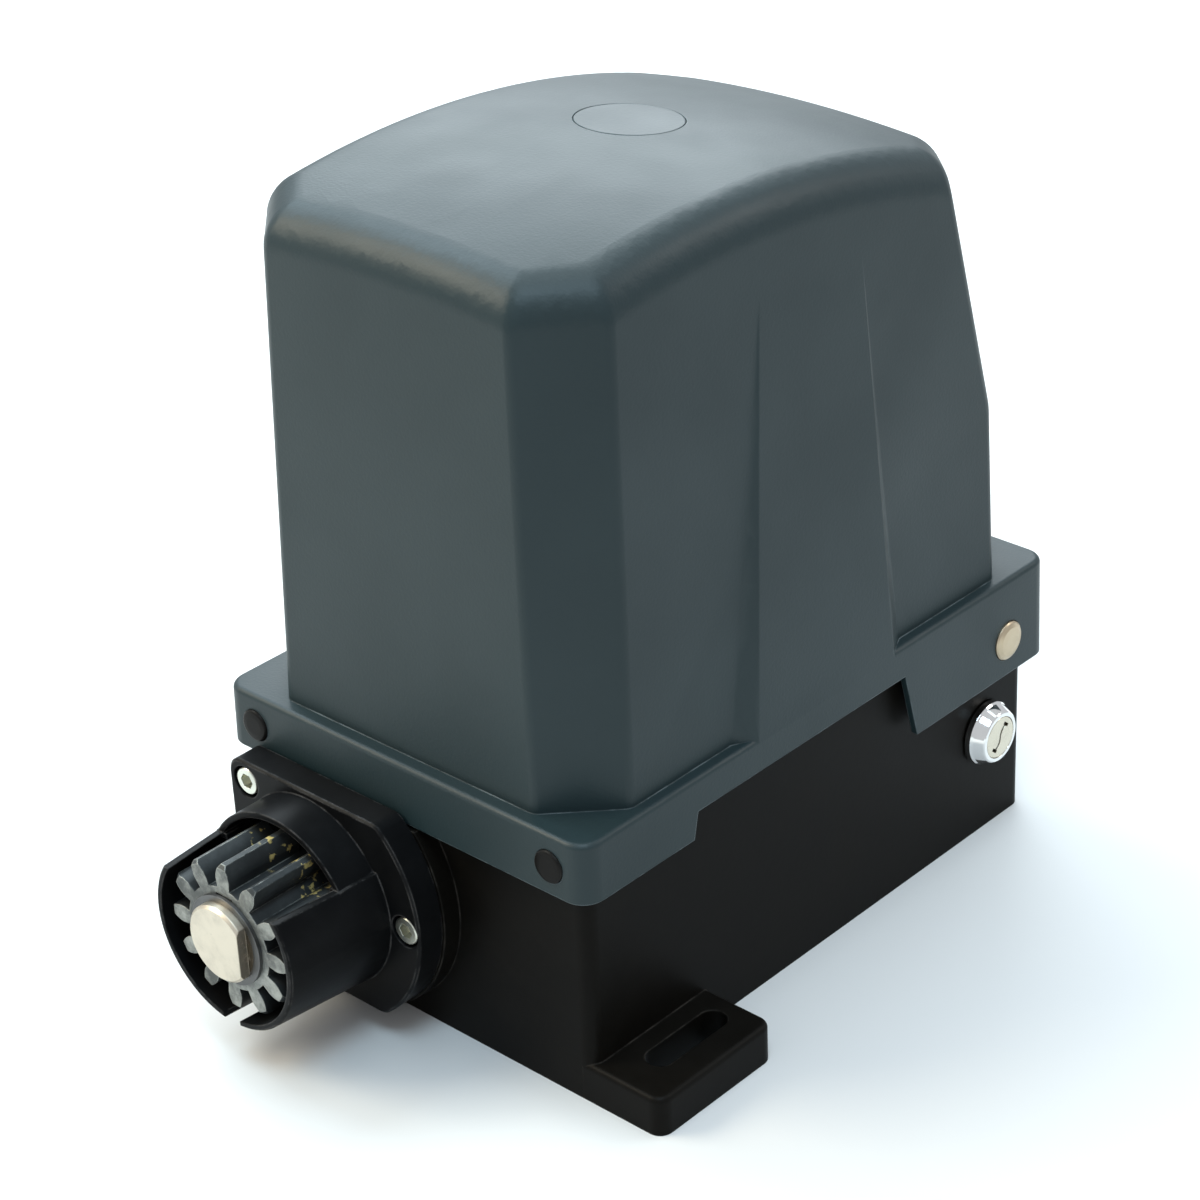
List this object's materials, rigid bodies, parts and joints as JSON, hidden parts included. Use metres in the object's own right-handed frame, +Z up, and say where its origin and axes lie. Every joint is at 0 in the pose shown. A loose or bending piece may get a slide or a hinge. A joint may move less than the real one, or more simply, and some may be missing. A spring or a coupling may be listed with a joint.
{
  "type": "sliding gate motor",
  "caption": "Sliding gate operator: moulded grey cover on a black cast base with feet, a guarded drive pinion, a release lock, and the worm drive and controls inside.",
  "frame": {"origin": "centre of the base housing's underside, which rests on the mounting plate", "axes": "+X to the right seen from the pinion side, towards the release lock; -Y out of the pinion face, towards the gate's rack; +Z up"},
  "size_m": [0.211, 0.3016, 0.2853],
  "materials": {
    "black_paint": "satin black paint on cast aluminium",
    "black_paint_guard": "satin black paint",
    "cast_aluminium": "as cast, fine grained",
    "bright_screw": "bright plated",
    "zinc_screw": "zinc plated",
    "black_rubber": "matte",
    "bearing_steel": "ground",
    "lamination": "stacked sheet edges",
    "copper_wire": "varnished winding wire",
    "lock_chrome": "polished",
    "lock_satin": "satin",
    "screw_chrome": "satin chrome",
    "black_plastic": "moulded",
    "zinc_sheet": "galvanised sheet",
    "green_board": "solder mask",
    "green_plastic": "moulded",
    "blue_plastic": "moulded",
    "white_plastic": "moulded",
    "grey_plastic": "moulded",
    "capacitor_sleeve": "shrink sleeve",
    "bright_steel": "turned",
    "gear_steel": "dark, worn on the teeth",
    "spring_steel": "blackened",
    "bronze": "cut bronze",
    "cover_grey": "fine textured blue-grey",
    "badge_grey": "smooth blue-grey",
    "cap_black": "satin black"
  },
  "bodies": {
    "base": {"base_housing": "black_paint", "gear_case": "cast_aluminium", "pinion_guard": "black_paint_guard", "guard_screws": "bright_screw", "oil_seal": "black_rubber", "front_bearing": "bearing_steel", "rear_bearing": "bearing_steel", "rear_support": "cast_aluminium", "support_screws": "zinc_screw", "wheel_bearing": "bearing_steel", "worm_bearing": "bearing_steel", "motor_bearings": "bearing_steel", "lower_shield": "cast_aluminium", "stator_core": "lamination", "stator_windings": "copper_wire", "upper_shield": "cast_aluminium", "motor_tie_screws": "zinc_screw", "motor_flange_screws": "zinc_screw", "lock_body": "lock_chrome", "lock_nut": "zinc_screw", "bar_guides": "black_plastic", "chassis_plate": "zinc_sheet", "chassis_screws": "zinc_screw", "control_board": "green_board", "board_standoffs": "white_plastic", "terminal_blocks": "green_plastic", "relays": "blue_plastic", "fuse_holder": "white_plastic", "board_capacitor": "capacitor_sleeve", "transformer_core": "lamination", "transformer_coil": "copper_wire", "run_capacitor": "grey_plastic", "capacitor_cup": "black_plastic", "limit_sensor": "black_plastic", "cable_grommet": "black_rubber"},
    "output": {"output_shaft": "bright_steel", "shaft_keys": "zinc_screw", "drive_pinion": "gear_steel", "pinion_clip": "spring_steel", "spacer_sleeve": "bearing_steel"},
    "wheel": {"worm_wheel": "bronze", "wheel_hub": "bearing_steel"},
    "rotor": {"worm_shaft": "bright_steel", "rotor_core": "lamination"},
    "clutch": {"clutch_sleeve": "bearing_steel"},
    "fork": {"release_bar": "zinc_sheet"},
    "key": {"lock_plug": "lock_satin", "lock_cam": "zinc_sheet"},
    "cover": {"top_cover": "cover_grey", "cover_badge": "badge_grey", "cover_caps": "cap_black", "cover_front_screws": "zinc_screw", "cover_side_screws": "screw_chrome", "cover_nuts": "zinc_screw", "cover_gasket": "black_rubber"}
  },
  "joints": [
    {"name": "output_spin", "type": "hinge", "parent": "base", "child": "output", "pos_m": [-0.03, 0, 0.0485], "axis": [0, 1, 0], "continuous": true},
    {"name": "wheel_spin", "type": "hinge", "parent": "base", "child": "wheel", "pos_m": [-0.03, -0.067, 0.0485], "axis": [0, 1, 0], "continuous": true},
    {"name": "rotor_spin", "type": "hinge", "parent": "base", "child": "rotor", "pos_m": [0.015, -0.067, 0.1], "axis": [0, 0, 1], "continuous": true},
    {"name": "clutch_slide", "type": "slide", "parent": "output", "child": "clutch", "axis": [0, 1, 0], "range_m": [0, 0.00566]},
    {"name": "fork_slide", "type": "slide", "parent": "base", "child": "fork", "axis": [0, 1, 0], "range_m": [0, 0.00566]},
    {"name": "key_turn", "type": "hinge", "parent": "base", "child": "key", "pos_m": [0.07, 0.0927, 0.0412], "axis": [1, 0, 0], "range_deg": [0, 90]},
    {"name": "cover_lift", "type": "slide", "parent": "base", "child": "cover", "axis": [0, 0, 1], "range_m": [0, 0.2]}
  ],
  "couplings": [
    {"joint": "wheel_spin", "follows": "output_spin", "ratio": 1},
    {"joint": "rotor_spin", "follows": "output_spin", "ratio": 36},
    {"joint": "clutch_slide", "follows": "fork_slide", "ratio": 1},
    {"joint": "key_turn", "follows": "fork_slide", "rad_per_m": 277.68}
  ]
}
